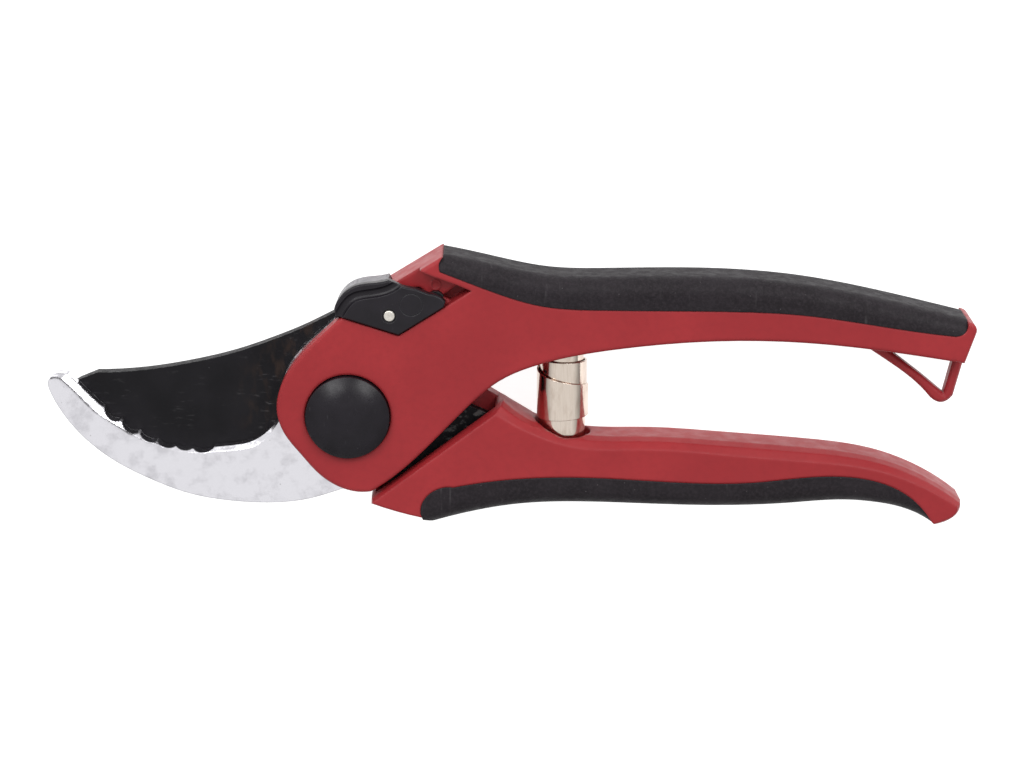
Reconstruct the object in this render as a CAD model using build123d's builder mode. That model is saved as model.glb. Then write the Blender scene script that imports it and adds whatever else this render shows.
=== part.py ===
from build123d import *
import math
import os

# Bypass pruner, closed and locked, lying on its back side.
# +X runs from the pivot to the handle ends, +Y from the lower handle to the upper one,
# +Z from the resting side to the front. The pivot axis is the Z axis, the resting plane is Z = 0.

os.makedirs("parts", exist_ok=True)

# ---- driving dimensions, mm ----
GRIP_T = 16.0            # thickness over the grips
CORE_BACK = 0.2          # the red mouldings lie this far inside the grips, back and front
CORE_FRONT = GRIP_T - CORE_BACK
BLADE_T = 3.0            # cutting blade
HOOK_T = 3.8             # hook plate
BACK_SHELL_TOP = 4.6     # back shell of the head, which carries the blade
BLADE_TOP = BACK_SHELL_TOP + BLADE_T
HOOK_BACK = BLADE_TOP + 0.1
HOOK_FRONT = HOOK_BACK + HOOK_T
SIDE_GAP = 0.3           # play between pieces that move past each other

CAP_R = 9.4              # dome over the bolt head
CAP_WALL = 1.4
CAP_DOME = 3.0
BOLT_R = 4.0
BOLT_HEAD_R = 6.6
BOLT_HEAD_T = 2.6
BOLT_HEAD_PLAY = 0.1
BOLT_BACK = 0.6          # the bolt ends this far above the resting plane
BUSH_R = 5.2
RUNNING_FIT = 0.05
NUT_R = 7.6
NUT_T = 2.6
WASHER_T = 0.8

SPRING_X = 48.3          # axis of the volute spring, parallel to Y
SPRING_Z = GRIP_T / 2
SPRING_R = 5.95
SPRING_END_R = 5.2
SPRING_BOTTOM = -7.0
SPRING_TOP = 14.8
SPRING_POCKET_R = 6.4

LOCK_TRAVEL = 4.5        # from locked, as drawn, to released
LOCK_MIDWAY = 3.4        # middle of the slot that the pin runs in, from the locked pin
LOCK_SLOT_SPARE = 3.1    # the slot is this much longer than the travel
LOCK_SLOT_RUN = LOCK_TRAVEL + LOCK_SLOT_SPARE    # between the centres of its ends
LOCK_PIN_X, LOCK_PIN_Y = 9.6, 23.35
LOCK_PIN_R = 1.25
LOCK_PIN_PLAY = 0.4      # gap round the pin where it shows in the plate
LOCK_PIN_RISE = 0.1
LOCK_PIN_ROUND = 0.25
LOCK_FLOOR = 12.4        # floor of the recess in the front shell
LOCK_FRONT = 16.7        # face of the lock plate
BLADE_SWEEP_R = 27.0     # space for the heel of the blade inside the upper handle

NUT_RECESS_TOP = NUT_T + WASHER_T + RUNNING_FIT
NUT_HOLE_X = 4.8         # the two wrench holes of the nut lie this far from the axis
NUT_HOLE_R = 0.9
NUT_HOLE_DEPTH = 1.6
NUT_ROUND = 0.4
WASHER_R = NUT_R - 0.6
CAP_SPIGOT_R = 2.2       # stub of the dome that plugs into the bolt's socket
CAP_SPIGOT = 1.5
GRIP_ROUND = 4.0         # long outer edges of the grips
LOOP_BACK = 6.0          # the hanging loop is this far in from the back and the front
LOOP_CHAMFER = 0.6
UPPER_POCKET_FLOOR = 15.0
LOWER_POCKET_FLOOR = -7.2
LOWER_POCKET_DEPTH = 10.0
PEG_R = 1.6
PEG_DEPTH = 3.0
PEG_HEAD_R = 2.8
PEG_HEAD_T = 2.4
PEG_HEAD_ROUND = 0.6
BLADE_SCREWS = [(23.0, -12.2), (34.0, -9.5)]
HOOK_SCREWS = [(34.0, 15.0), (29.0, 24.0)]
SCREW_R = 1.5
SCREW_HEAD_R = 2.8
SCREW_HEAD_PLAY = 0.1
SCREW_HEAD_TOP = 2.4
SCREW_TIP = 13.6         # the tang screws of the hook end here
BLADE_SCREW_TIP = 11.0
CAVITY_REACH = 5.0       # depth of the hollow under the front wall, square to the wedge line

PEAK = (21.4, 36.5)              # highest point, where the upper grip starts
RAMP_FOOT = (-1.9, 22.2)         # the straight ramp up to the peak, which the lock straddles
LOCK_DIR = (Vector(PEAK) - Vector(RAMP_FOOT)).normalized()
LOCK_ANGLE = math.degrees(math.atan2(LOCK_DIR.Y, LOCK_DIR.X))


def finish_piece(part, name):
    """Label one piece and write it to its own STEP file."""
    part.label = name
    export_step(part, f"parts/{name}.step")


def along_lock(distance):
    """The point that lies this far along the lock's travel from its pin."""
    return (LOCK_PIN_X + distance * LOCK_DIR.X, LOCK_PIN_Y + distance * LOCK_DIR.Y)


# ---- outlines of the upper handle ----
SHELL_CORNER = (5.0, -17.75)     # lowest corner of the front shell
CROTCH = (27.1, 2.2)             # where the front shell runs into the underside
HANDLE_END_LOW = (137.9, 12.1)
HANDLE_END_HIGH = (140.9, 20.9)

with BuildSketch() as upper_outline:
    with BuildLine():
        Spline(
            SHELL_CORNER, (15.5, -9.6), CROTCH, (34.2, 8.1), (42.3, 11.6), (62.0, 15.5),
            (84.7, 17.2), (103.3, 16.7), (122.0, 14.6), HANDLE_END_LOW,
        )
        Line(HANDLE_END_LOW, HANDLE_END_HIGH)
        Spline(
            HANDLE_END_HIGH, (120.0, 26.1), (102.0, 29.6), (82.0, 31.3), (58.0, 31.3),
            (45.0, 31.7), (32.0, 34.3), PEAK,
        )
        Line(PEAK, RAMP_FOOT)
        Spline(RAMP_FOOT, (-6.4, 18.0), (-13.2, 10.2), (-15.9, 0.9), (-14.2, -4.4),
               (-10.8, -8.9), (-6.6, -13.7), (-0.6, -17.3), SHELL_CORNER)
    make_face()

# seams between the red mouldings and the grips, on the front face
UPPER_SEAM = [(31.4, 29.1), (43.6, 25.4), (56.0, 24.5), (84.4, 24.2), (101.0, 23.4), (124.0, 20.0)]
LOWER_SEAM = [(38.0, -14.7), (50.0, -14.3), (76.0, -15.6), (92.0, -15.5), (107.4, -14.1)]

with BuildSketch() as upper_grip_outline:
    with BuildLine():
        Spline(
            (138.4, 21.7), (120.0, 26.2), (102.0, 29.7), (82.0, 31.4), (58.0, 31.4),
            (45.0, 31.8), (32.0, 34.4), (21.8, 36.6),
        )
        Spline((21.8, 36.6), (20.7, 35.0), (20.9, 33.2))
        Spline((20.9, 33.2), *UPPER_SEAM, (135.6, 18.5))
        Spline((135.6, 18.5), (137.9, 19.5), (138.4, 21.7))
    make_face()


# ---- outlines of the lower handle ----
# Its red moulding is widest along the rim, between two depths, and rounds off to the crease on both faces.
RIM_BACK, RIM_FRONT = 4.0, 12.0
SHOULDER_IN = 1.6                # the round's shoulder lies this far in from both faces
SHOULDER_SHARE = 0.28            # how far the shoulder has moved from the rim towards the crease
WEDGE_LOW = Vector(5.0, -19.65)  # the side along the head runs from here to the top of the wedge
WEDGE_RIM = Vector(34.9, 2.6)
wedge_dir = (WEDGE_RIM - WEDGE_LOW).normalized()
wedge_in = Vector(wedge_dir.Y, -wedge_dir.X)
RIM = [(34.9, 2.6), (41.4, -2.1), (53.4, -5.4), (67.1, -5.75), (85.8, -6.9), (104.9, -8.5),
       (119.6, -10.9), (132.7, -16.5), (138.7, -20.7)]
CREASE = [(32.7, 0.96), (40.0, -3.5), (51.5, -7.4), (66.6, -7.8), (85.0, -9.1), (104.0, -10.7),
          (118.5, -12.6), (130.5, -17.1), (138.2, -21.4)]
END_CURVE = [(138.1, -23.1), (136.5, -24.7), (133.0, -26.0)]
UNDERSIDE = [(133.0, -26.0), (129.8, -23.9), (125.0, -22.0), (119.0, -20.8), (113.3, -20.4), (100.0, -21.1),
             (76.2, -21.6), (56.0, -20.9), (36.9, -21.5), (26.9, -23.2), (19.6, -25.1)]
HEEL_EDGE = [(19.6, -25.1), (12.3, -23.5), (4.9, -21.1)]
SHOULDER = [
    (
        rim_x + SHOULDER_SHARE * (crease_x - rim_x),
        rim_y + SHOULDER_SHARE * (crease_y - rim_y),
    )
    for (rim_x, rim_y), (crease_x, crease_y) in zip(RIM, CREASE)
]


def shifted(points, step):
    """Return the points, each moved by the same step."""
    return [Vector(*point) + step for point in points]


def lower_face(top, inset):
    """Return one section of the lower handle: its top edge, and how far its other sides lie in."""
    up = Vector(0, inset)
    top_edge = [Vector(*top[0]) + wedge_in * inset, *top[1:-1], Vector(*top[-1]) - Vector(inset, 0)]
    end_curve = shifted(END_CURVE, Vector(-inset, inset))
    underside = [end_curve[-1], *shifted(UNDERSIDE[1:], up)]
    heel_edge = [underside[-1], *shifted(HEEL_EDGE[1:], Vector(inset / 2, inset))]
    with BuildSketch() as face:
        with BuildLine():
            Line(WEDGE_LOW + wedge_in * inset, top_edge[0])
            Spline(top_edge)
            Spline(top_edge[-1], *end_curve)
            Spline(underside)
            Spline(heel_edge)
            Line(heel_edge[-1], WEDGE_LOW + wedge_in * inset)
        make_face()
    return face.sketch


with BuildSketch() as lower_grip_outline:
    with BuildLine():
        Spline((16.7, -24.5), (16.8, -19.9), (19.2, -17.5), (23.6, -16.7))
        Spline((23.6, -16.7), *LOWER_SEAM, (121.9, -16.3), (132.5, -26.0))
        Spline((132.5, -26.0), (129.6, -24.1), (125.0, -22.2), (119.0, -21.0), (113.3, -20.5), (100.0, -21.2),
               (76.2, -21.7), (56.0, -21.0), (36.9, -21.6), (26.9, -23.4), (19.6, -25.3))
        Line((19.6, -25.3), (16.7, -24.5))
    make_face()

# back shell of the head, which belongs to the lower handle
with BuildSketch() as back_shell_outline:
    with BuildLine():
        Spline((31.7, 2.9), (18.0, 10.5), (5.5, 17.4))
        Spline((5.5, 17.4), (-3.0, 17.6), (-13.0, 11.6), (-16.6, 0.0), (-12.0, -11.6), (0.0, -17.2),
               (5.5, -19.1))
        Polyline((5.5, -19.1), (5.6, -20.2), (25.0, -21.6), (41.5, -12.0), (41.5, -3.1), (31.7, 2.9))
    make_face()

# everything that the upper handle leaves free for the hook, the blade and the back shell
with BuildSketch() as head_clearance:
    with BuildLine():
        Polyline(
            (-40.0, 45.0), (4.2, 45.0), (4.2, 21.0), (32.0, 5.8), (45.0, -8.0), (45.0, -40.0),
            (-40.0, -40.0), close=True,
        )
    make_face()

# ---- cutters that several pieces share ----
with BuildSketch() as lock_recess_outline:
    with BuildLine():
        Polyline(
            (-4.0, 22.2), (-1.5, 22.75), (11.6, 18.55), (27.9, 28.85), (24.7, 30.2), (19.0, 32.3),
            (16.4, 33.4), (15.7, 36.0), (-4.0, 36.0), close=True,
        )
    make_face()

with BuildSketch() as deep_recess_outline:
    with BuildLine():
        Polyline((21.2, 27.0), (24.7, 29.6), (24.7, 30.2), (27.9, 28.85), (23.2, 25.9), close=True)
    make_face()

with BuildSketch() as tang_outline:
    with BuildLine():
        Polyline((-1.9, 21.9), (9.0, 28.8), (13.0, 29.4), (19.2, 28.2), (20.2, 26.4), (22.8, 24.6),
                 (27.0, 26.6), (31.0, 26.2), (39.5, 21.0), (39.5, 12.6), (26.5, 2.8), (14.0, -9.6),
                 (4.2, -16.4), (-6.0, -10.0), (-10.0, 10.0), close=True)
    make_face()


def hook_face(inner):
    """Return the face of the hook, jaw and head, with its inner edge through the given points."""
    with BuildSketch() as face:
        with BuildLine():
            Spline(inner)
            Spline(inner[-1], (-15.5, 0.4), (-13.6, 9.9), (-6.8, 17.9), RAMP_FOOT)
            Line(RAMP_FOOT, (-1.9, 21.9))
            Line((-1.9, 21.9), (4.2, -16.4))
            Spline((4.2, -16.4), (-1.9, -18.3), (-9.5, -20.6), (-18.6, -21.5), (-27.4, -21.0),
                   (-36.5, -19.3), (-45.2, -15.9), (-54.2, -10.9), (-62.8, -2.8), (-67.4, 5.2))
            Spline((-67.4, 5.2), (-67.2, 7.6), inner[0])
        make_face()
    return face.sketch


# ---- hook: the counter blade ----
HOOK_LAND = 2.9                  # the inner edge is square up to here and bevelled in front of it
HOOK_SLOT_WIDTH = 5.8            # the lock pin and its clip slide in here
TEETH = [(-55.3, 0.5), (-51.4, -2.5), (-47.5, -5.3), (-43.5, -7.3), (-39.3, -8.4),
         (-35.5, -8.9), (-30.6, -8.6)]
SCALLOP_DEPTHS = [1.1, 1.1, 0.8, 0.7, 0.6, 1.0]
INNER_BACK = [(-63.3, 8.5), (-59.8, 5.0), *TEETH, (-26.5, -8.2), (-22.2, -7.3), (-18.3, -4.7), (-16.0, -1.9)]
INNER_FRONT = [(-64.6, 7.6), (-60.7, 3.6), (-56.8, -0.4), (-52.6, -3.2), (-48.4, -5.8), (-44.1, -7.6),
               (-39.6, -9.1), (-35.6, -9.7), (-30.6, -9.5), (-25.7, -9.1), (-21.3, -8.1), (-17.9, -5.4),
               (-15.7, -2.3)]

hook_back_face = hook_face(INNER_BACK)
hook_front_face = hook_face(INNER_FRONT)

with BuildPart() as hook:
    with BuildSketch(Plane.XY.offset(HOOK_BACK)):
        add(hook_back_face)
    extrude(amount=HOOK_LAND)
    with BuildSketch(Plane.XY.offset(HOOK_BACK + HOOK_LAND)):
        add(hook_back_face)
    with BuildSketch(Plane.XY.offset(HOOK_FRONT)):
        add(hook_front_face)
    loft(ruled=True)
    with BuildSketch(Plane.XY.offset(HOOK_BACK)):
        add(tang_outline.sketch)
    extrude(amount=HOOK_T)
    for left, right, depth in zip(TEETH[:-1], TEETH[1:], SCALLOP_DEPTHS):
        chord = Vector(right) - Vector(left)
        radius = (chord.length ** 2 / 4 + depth ** 2) / (2 * depth)
        normal = Vector(-chord.Y, chord.X).normalized()
        centre = (Vector(left) + Vector(right)) * 0.5 + normal * (radius - depth)
        with BuildSketch(Plane.XY.offset(HOOK_BACK)):
            with Locations((centre.X, centre.Y)):
                Circle(radius)
        extrude(amount=HOOK_T, mode=Mode.SUBTRACT)
    with BuildSketch(Plane.XY.offset(HOOK_BACK)):
        Circle(BOLT_R)
        with Locations(*HOOK_SCREWS):
            Circle(SCREW_R)
        with Locations(along_lock(LOCK_MIDWAY)):
            SlotCenterToCenter(LOCK_SLOT_RUN, HOOK_SLOT_WIDTH, rotation=LOCK_ANGLE)
    extrude(amount=HOOK_T, mode=Mode.SUBTRACT)
finish_piece(hook.part, "hook")


# ---- cutting blade ----
BLADE_TIP_CORNER = (-57.0, 8.1)
BLADE_EDGE_Z = 7.0               # height of the sharp edge
BLADE_NOTCH_RUN = 4.0            # notch that the locked pin holds, between the centres of its ends
BLADE_NOTCH_WIDTH = 3.2
HEEL_ROOT = (-12.0, -14.2)
EDGE = [(-62.9, 5.7), (-56.6, -1.3), (-46.6, -8.7), (-34.0, -13.4), (-22.0, -14.6), (-14.5, -13.2)]
EDGE_FRONT = [(-62.2, 6.0), (-56.1, -0.6), (-46.2, -8.0), (-33.9, -12.6), (-22.0, -13.8), (-14.4, -12.4)]
EDGE_BACK = [(-61.1, 6.4), (-54.4, 1.4), (-44.6, -5.4), (-33.0, -9.9), (-22.0, -11.0), (-14.2, -10.4)]


def blade_face(edge):
    """Return the face of the cutting blade, with its lower edge through the given points."""
    with BuildSketch() as face:
        with BuildLine():
            Spline(edge)
            Line(edge[-1], HEEL_ROOT)
            Spline(HEEL_ROOT, (-6.0, -16.0), (2.0, -17.0), (12.0, -18.4))
            Polyline((12.0, -18.4), (18.0, -16.8), (26.0, -15.2), (38.5, -13.2), (38.5, -5.8),
                     (32.8, -2.3), (27.3, 0.1), (15.0, 11.4))
            Spline((15.0, 11.4), (14.4, 17.0), (12.4, 22.4))
            Line((12.4, 22.4), (6.5, 25.4))
            Spline((6.5, 25.4), (-3.0, 22.1), (-9.2, 19.0), (-16.1, 16.1), (-25.9, 12.7),
                   (-35.0, 10.5), (-45.3, 8.8), BLADE_TIP_CORNER)
            Line(BLADE_TIP_CORNER, edge[0])
        make_face()
    return face.sketch


blade_edge_face = blade_face(EDGE)
blade_front_face = blade_face(EDGE_FRONT)
blade_back_face = blade_face(EDGE_BACK)

with BuildPart() as cutting_blade:
    with BuildSketch(Plane.XY.offset(BACK_SHELL_TOP)):
        add(blade_back_face)
    with BuildSketch(Plane.XY.offset(BLADE_EDGE_Z)):
        add(blade_edge_face)
    loft(ruled=True)
    with BuildSketch(Plane.XY.offset(BLADE_EDGE_Z)):
        add(blade_edge_face)
    with BuildSketch(Plane.XY.offset(BLADE_TOP)):
        add(blade_front_face)
    loft(ruled=True)
    with BuildSketch(Plane.XY.offset(BACK_SHELL_TOP)):
        Circle(BUSH_R)
        with Locations(*BLADE_SCREWS):
            Circle(SCREW_R)
        with Locations(along_lock(BLADE_NOTCH_RUN / 2)):
            SlotCenterToCenter(BLADE_NOTCH_RUN, BLADE_NOTCH_WIDTH, rotation=LOCK_ANGLE)
    extrude(amount=BLADE_T, mode=Mode.SUBTRACT)
finish_piece(cutting_blade.part, "cutting_blade")


# ---- upper handle ----
EDGE_ROUND = 0.8
PEAK_ROUND = 2.0
END_ROUND = 1.8
CAP_RECESS_FLOOR = 14.2
RIB_BACK, RIB_FRONT = 4.5, 11.5  # core of the red mouldings inside the grips
RIB_HEIGHT = 3.0
RIB_ROOT = 1.5                   # the rib starts this far inside the red moulding
LOCK_SLOT_R = 1.9
DEEP_RECESS_FLOOR = 9.9          # the far end of the lock's recess is deeper
EJECTOR_MARK = (19.8, 29.5)      # ring that the moulding tool leaves on the recess floor
EJECTOR_MARK_R = 1.2
EJECTOR_MARK_LINE = 0.3
EJECTOR_MARK_RISE = 0.25
lock_slot = along_lock(LOCK_MIDWAY)


def rib_outline(seam, rise):
    """Return the outline of the rib that stands on a seam and keys the grip; rise is along Y."""
    root = [(x, y - math.copysign(RIB_ROOT, rise)) for x, y in seam]
    crest = [(x, y + rise) for x, y in seam]
    with BuildSketch() as outline:
        with BuildLine():
            Spline(root)
            Line(root[-1], crest[-1])
            Spline(crest)
            Line(root[0], crest[0])
        make_face()
    return outline.sketch


upper_rib_outline = rib_outline(UPPER_SEAM, RIB_HEIGHT)
lower_rib_outline = rib_outline(LOWER_SEAM, -RIB_HEIGHT)

with BuildPart() as hanging_loop:
    with BuildSketch(Plane.XY.offset(LOOP_BACK)):
        with BuildLine():
            Spline((115.1, 15.6), (120.2, 12.1), (125.6, 8.3), (131.3, 2.8))
            Spline((131.3, 2.8), (134.0, 1.6), (136.4, 3.2))
            Polyline((136.4, 3.2), (138.6, 12.0), (137.5, 14.0), (120.0, 17.0), (115.1, 15.6))
        make_face()
        with BuildLine():
            Polyline((121.5, 13.9), (129.1, 8.0), (134.3, 3.7), (136.4, 12.6), close=True)
        make_face(mode=Mode.SUBTRACT)
    extrude(amount=GRIP_T - 2 * LOOP_BACK)
    chamfer(hanging_loop.edges().filter_by(Plane.XY), LOOP_CHAMFER)

with BuildPart() as upper_handle:
    with BuildSketch(Plane.XY.offset(CORE_BACK)):
        add(upper_outline.sketch)
    extrude(amount=CORE_FRONT - CORE_BACK)
    corners = upper_handle.edges().filter_by(Axis.Z)
    fillet(corners.sort_by(Axis.Y)[-1], PEAK_ROUND)
    corners = upper_handle.edges().filter_by(Axis.Z)
    fillet(corners.sort_by(Axis.X)[-1], END_ROUND)
    fillet(upper_handle.edges().filter_by(Plane.XY), EDGE_ROUND)
    with BuildSketch(Plane.XY.offset(-1)):
        add(head_clearance.sketch)
    extrude(amount=HOOK_FRONT + 1, mode=Mode.SUBTRACT)
    with BuildSketch(Plane.XY.offset(HOOK_BACK)):
        add(tang_outline.sketch)
    extrude(amount=HOOK_T, mode=Mode.SUBTRACT)
    with BuildSketch(Plane.XY.offset(BACK_SHELL_TOP - SIDE_GAP)):
        Circle(BLADE_SWEEP_R)
    extrude(amount=BLADE_T + 2 * SIDE_GAP, mode=Mode.SUBTRACT)
    with BuildSketch(Plane.XY.offset(LOCK_FLOOR)):
        add(lock_recess_outline.sketch)
    extrude(amount=GRIP_T, mode=Mode.SUBTRACT)
    with BuildSketch(Plane.XY.offset(DEEP_RECESS_FLOOR)):
        add(deep_recess_outline.sketch)
    extrude(amount=GRIP_T, mode=Mode.SUBTRACT)
    with BuildSketch(Plane.XY.offset(LOCK_FLOOR)):
        with Locations(EJECTOR_MARK):
            Circle(EJECTOR_MARK_R)
            Circle(EJECTOR_MARK_R - EJECTOR_MARK_LINE, mode=Mode.SUBTRACT)
    extrude(amount=EJECTOR_MARK_RISE)
    with BuildSketch(Plane.XY.offset(HOOK_FRONT)):
        with Locations(lock_slot):
            SlotCenterToCenter(LOCK_SLOT_RUN, 2 * LOCK_SLOT_R, rotation=LOCK_ANGLE)
        Circle(BOLT_HEAD_R + BOLT_HEAD_PLAY)
    extrude(amount=GRIP_T, mode=Mode.SUBTRACT)
    with BuildSketch(Plane.XY.offset(CAP_RECESS_FLOOR)):
        Circle(CAP_R + SIDE_GAP)
    extrude(amount=GRIP_T, mode=Mode.SUBTRACT)
    with BuildSketch(Plane.XY.offset(-1)):
        add(upper_grip_outline.sketch)
    extrude(amount=GRIP_T + 2, mode=Mode.SUBTRACT)
    with BuildSketch(Plane.XY.offset(RIB_BACK)):
        add(upper_rib_outline)
    extrude(amount=RIB_FRONT - RIB_BACK)
    add(hanging_loop.part)
    with BuildSketch(Plane((SPRING_X, 0, SPRING_Z), z_dir=(0, 1, 0))):
        Circle(SPRING_POCKET_R)
    extrude(amount=UPPER_POCKET_FLOOR, mode=Mode.SUBTRACT)
    with BuildSketch(Plane((SPRING_X, UPPER_POCKET_FLOOR, SPRING_Z), z_dir=(0, 1, 0))):
        Circle(PEG_R)
    extrude(amount=PEG_DEPTH, mode=Mode.SUBTRACT)
    with BuildSketch(Plane.XY.offset(-1)):
        with Locations(*HOOK_SCREWS):
            Circle(SCREW_HEAD_R + SCREW_HEAD_PLAY)
    extrude(amount=SCREW_HEAD_TOP + 1, mode=Mode.SUBTRACT)
    with BuildSketch(Plane.XY.offset(-1)):
        with Locations(*HOOK_SCREWS):
            Circle(SCREW_R)
    extrude(amount=SCREW_TIP + 1, mode=Mode.SUBTRACT)
finish_piece(upper_handle.part, "upper_handle")

with BuildPart() as upper_grip:
    with BuildSketch():
        add(upper_grip_outline.sketch)
    extrude(amount=GRIP_T)
    long_edges = upper_grip.edges().filter_by(Plane.XY).sort_by(SortBy.LENGTH)[-4:]
    fillet(long_edges.sort_by(Axis.Y)[-2:], GRIP_ROUND)
    with BuildSketch(Plane.XY.offset(RIB_BACK)):
        add(upper_rib_outline)
    extrude(amount=RIB_FRONT - RIB_BACK, mode=Mode.SUBTRACT)
finish_piece(upper_grip.part, "upper_grip")


# ---- lower handle, with the back shell of the head ----
CAVITY_TOP = 12.0                # the front wall over the blade's tang starts here
CAVITY_START, CAVITY_END = 1.2, 35.0
cavity_start = WEDGE_LOW + wedge_dir * CAVITY_START - wedge_in
cavity_end = WEDGE_LOW + wedge_dir * CAVITY_END - wedge_in
PEAK_RELIEF_TOP = 10.0           # behind this the top of the wedge is cut down to the back shell's edge
HEEL_INSET = 0.7                 # the faces of the lower handle lie this far inside its sides

rim_face = lower_face(RIM, 0)
shoulder_face = lower_face(SHOULDER, HEEL_INSET / 4)
crease_face = lower_face(CREASE, HEEL_INSET)

with BuildPart() as lower_handle:
    with BuildSketch(Plane.XY.offset(RIM_BACK)):
        add(rim_face)
    extrude(amount=RIM_FRONT - RIM_BACK)
    for rim_height, face_height, shoulder_in in (
        (RIM_FRONT, CORE_FRONT, -SHOULDER_IN), (RIM_BACK, CORE_BACK, SHOULDER_IN),
    ):
        with BuildSketch(Plane.XY.offset(rim_height)):
            add(rim_face)
        with BuildSketch(Plane.XY.offset(face_height + shoulder_in)):
            add(shoulder_face)
        loft(ruled=True)
        with BuildSketch(Plane.XY.offset(face_height + shoulder_in)):
            add(shoulder_face)
        with BuildSketch(Plane.XY.offset(face_height)):
            add(crease_face)
        loft(ruled=True)
    with BuildSketch():
        with BuildLine():
            Polyline((30.0, 3.8), (31.6, 2.95), (35.3, 1.2), (39.0, -0.6), (42.4, -2.3), (42.4, 6.0),
                     (30.0, 6.0), close=True)
        make_face()
    extrude(amount=PEAK_RELIEF_TOP, mode=Mode.SUBTRACT)
    with BuildSketch(Plane.XY.offset(CORE_BACK)):
        add(back_shell_outline.sketch)
    extrude(amount=BACK_SHELL_TOP - CORE_BACK)
    with BuildSketch(Plane.XY.offset(-1)):
        add(lower_grip_outline.sketch)
    extrude(amount=GRIP_T + 2, mode=Mode.SUBTRACT)
    with BuildSketch(Plane.XY.offset(RIB_BACK)):
        add(lower_rib_outline)
    extrude(amount=RIB_FRONT - RIB_BACK)
    with BuildSketch(Plane.XY.offset(BACK_SHELL_TOP)):
        add(blade_edge_face)
    extrude(amount=BLADE_T, mode=Mode.SUBTRACT)
    with BuildSketch(Plane.XY.offset(BACK_SHELL_TOP)):
        with BuildLine():
            Polyline(cavity_start, cavity_end, cavity_end + wedge_in * CAVITY_REACH,
                     cavity_start + wedge_in * CAVITY_REACH, close=True)
        make_face()
    extrude(amount=CAVITY_TOP - BACK_SHELL_TOP, mode=Mode.SUBTRACT)
    with BuildSketch(Plane((SPRING_X, LOWER_POCKET_FLOOR, SPRING_Z), z_dir=(0, 1, 0))):
        Circle(SPRING_POCKET_R)
    extrude(amount=LOWER_POCKET_DEPTH, mode=Mode.SUBTRACT)
    with BuildSketch(Plane((SPRING_X, LOWER_POCKET_FLOOR, SPRING_Z), z_dir=(0, -1, 0))):
        Circle(PEG_R)
    extrude(amount=PEG_DEPTH, mode=Mode.SUBTRACT)
    with BuildSketch():
        Circle(NUT_R + SIDE_GAP)
    extrude(amount=NUT_RECESS_TOP, mode=Mode.SUBTRACT)
    with BuildSketch():
        Circle(BUSH_R)
    extrude(amount=BLADE_TOP, mode=Mode.SUBTRACT)
    with BuildSketch(Plane.XY.offset(-1)):
        with Locations(*BLADE_SCREWS):
            Circle(SCREW_HEAD_R + SCREW_HEAD_PLAY)
    extrude(amount=SCREW_HEAD_TOP + 1, mode=Mode.SUBTRACT)
    with BuildSketch(Plane.XY.offset(-1)):
        with Locations(*BLADE_SCREWS):
            Circle(SCREW_R)
    extrude(amount=BLADE_SCREW_TIP + 1, mode=Mode.SUBTRACT)
finish_piece(lower_handle.part, "lower_handle")

with BuildPart() as lower_grip:
    with BuildSketch():
        add(lower_grip_outline.sketch)
    extrude(amount=GRIP_T)
    long_edges = lower_grip.edges().filter_by(Plane.XY).sort_by(SortBy.LENGTH)[-4:]
    fillet(long_edges.sort_by(Axis.Y)[:2], GRIP_ROUND)
    with BuildSketch(Plane.XY.offset(RIB_BACK)):
        add(lower_rib_outline)
    extrude(amount=RIB_FRONT - RIB_BACK, mode=Mode.SUBTRACT)
finish_piece(lower_grip.part, "lower_grip")


# ---- pivot: bolt, dome, bush, washer and nut ----
HEX_SOCKET_R = 2.9
HEX_SOCKET_DEPTH = 1.8
CAP_TOP = CORE_FRONT + CAP_WALL + CAP_DOME
CAP_SPIGOT_BACK = CAP_RECESS_FLOOR - CAP_SPIGOT

with BuildPart() as pivot_bolt:
    with BuildSketch(Plane.XY.offset(BOLT_BACK)):
        Circle(BOLT_R)
    extrude(amount=HOOK_FRONT - BOLT_BACK)
    with BuildSketch(Plane.XY.offset(HOOK_FRONT)):
        Circle(BOLT_HEAD_R)
    extrude(amount=BOLT_HEAD_T)
    with BuildSketch(Plane.XY.offset(HOOK_FRONT + BOLT_HEAD_T)):
        RegularPolygon(HEX_SOCKET_R, 6)
    extrude(amount=-HEX_SOCKET_DEPTH, mode=Mode.SUBTRACT)
finish_piece(pivot_bolt.part, "pivot_bolt")

DOME_SPHERE_R = (CAP_R ** 2 + CAP_DOME ** 2) / (2 * CAP_DOME)


def dome_point(radius):
    """The point of the dome's profile at this distance from the axis."""
    return (radius, CAP_TOP - DOME_SPHERE_R + math.sqrt(DOME_SPHERE_R ** 2 - radius ** 2))


with BuildPart() as pivot_cap:
    with BuildSketch(Plane.XZ):
        with BuildLine():
            Polyline(
                (0, CAP_TOP), (0, CAP_SPIGOT_BACK), (CAP_SPIGOT_R, CAP_SPIGOT_BACK),
                (CAP_SPIGOT_R, CAP_RECESS_FLOOR), (CAP_R, CAP_RECESS_FLOOR),
                (CAP_R, CORE_FRONT + CAP_WALL),
            )
            ThreePointArc((CAP_R, CORE_FRONT + CAP_WALL), dome_point(CAP_R / 2), (0, CAP_TOP))
        make_face()
    revolve(axis=Axis.Z)
finish_piece(pivot_cap.part, "pivot_cap")

with BuildPart() as pivot_bush:
    with BuildSketch(Plane.XY.offset(NUT_RECESS_TOP + RUNNING_FIT)):
        Circle(BUSH_R)
        Circle(BOLT_R + RUNNING_FIT, mode=Mode.SUBTRACT)
    extrude(amount=BLADE_TOP - NUT_RECESS_TOP - RUNNING_FIT)
finish_piece(pivot_bush.part, "pivot_bush")

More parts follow.
